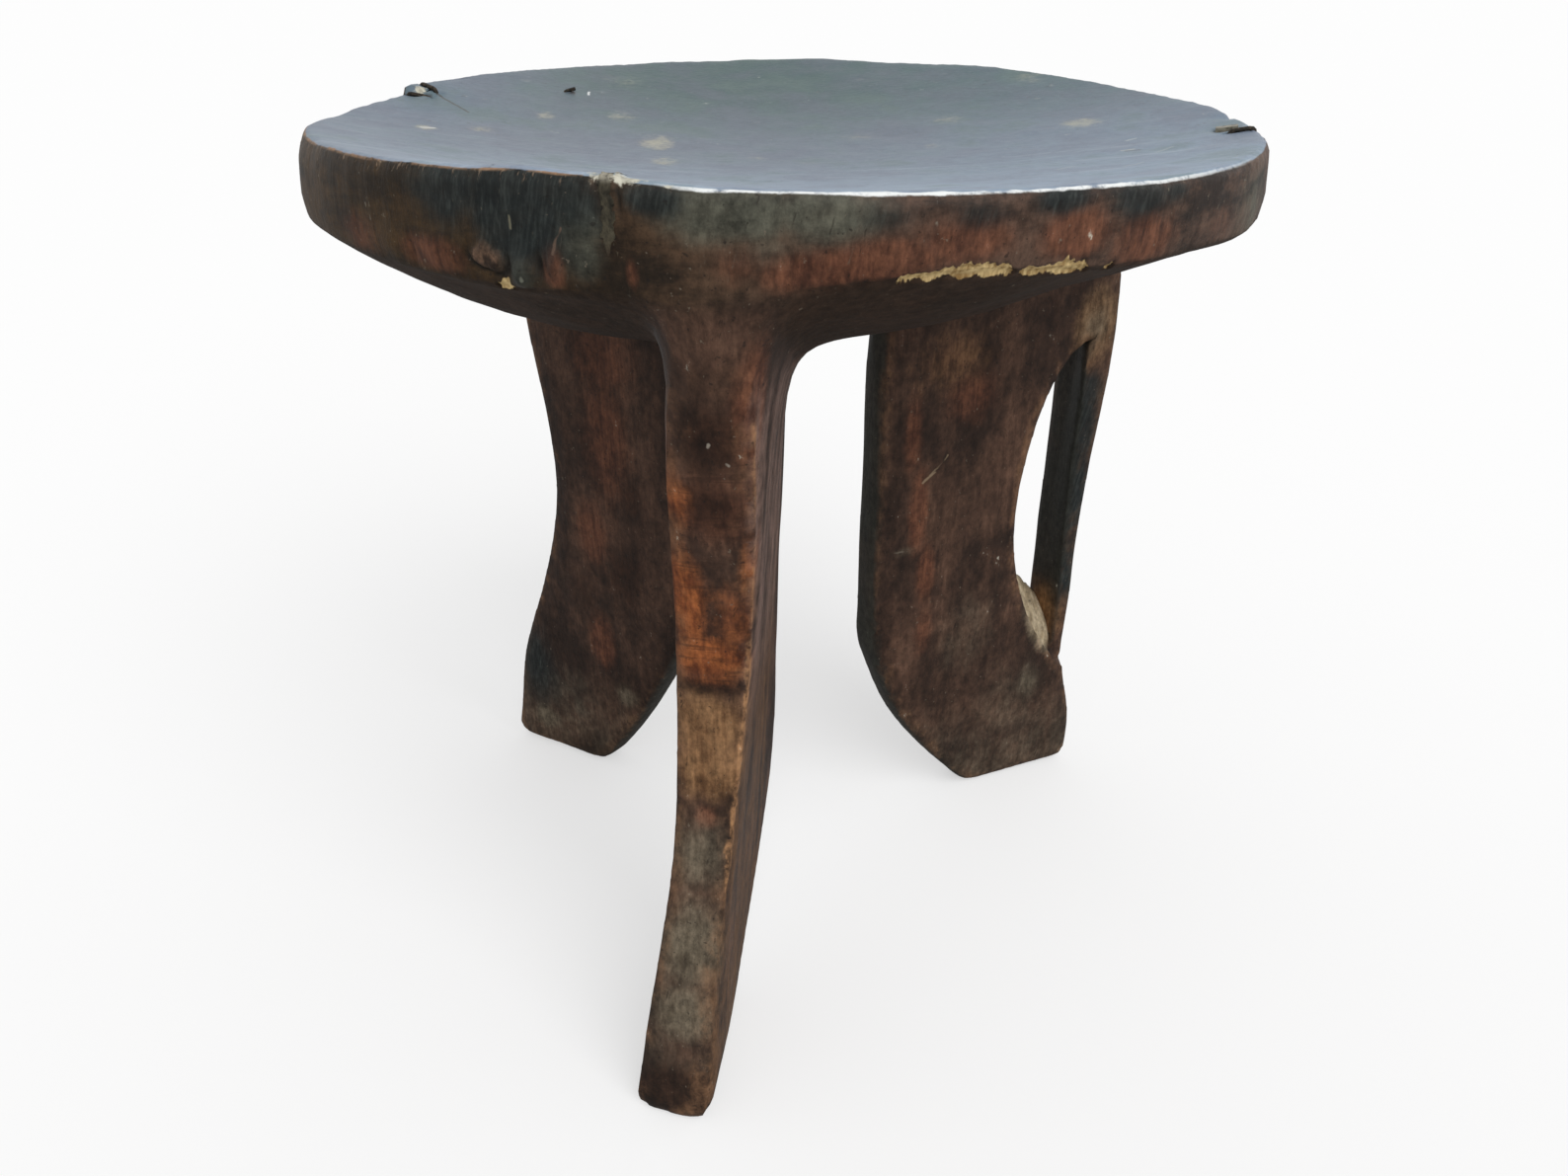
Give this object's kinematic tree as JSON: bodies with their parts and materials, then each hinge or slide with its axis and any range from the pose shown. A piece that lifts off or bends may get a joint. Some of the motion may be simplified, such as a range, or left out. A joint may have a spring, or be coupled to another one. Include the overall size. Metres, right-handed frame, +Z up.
{
  "type": "carved wooden stool",
  "caption": "Round log-carved wooden stool with a dished seat on plank legs, a carrying handle pierced in one leg, and metal repairs on its cracked rim.",
  "frame": {"origin": "middle of the bounding box on the floor the feet stand on", "axes": "+Z up; -Y is the side seen in the picture, with the front leg; the pierced handle leg is towards +X and +Y"},
  "size_m": [0.3268, 0.3236, 0.3361],
  "materials": {
    "dark_wood": "hand-polished patina, dusty towards the feet",
    "pale_filler": "dry, matte",
    "rusty_iron": "rusted wire",
    "dull_aluminium": "dull, oxidised"
  },
  "bodies": {
    "root": {"stool_body": "dark_wood", "rim_split_filler": "pale_filler", "left_back_staple": "rusty_iron", "left_front_staple": "rusty_iron", "right_staple": "rusty_iron", "bent_nail": "rusty_iron", "right_strap": "dull_aluminium"}
  },
  "joints": []
}
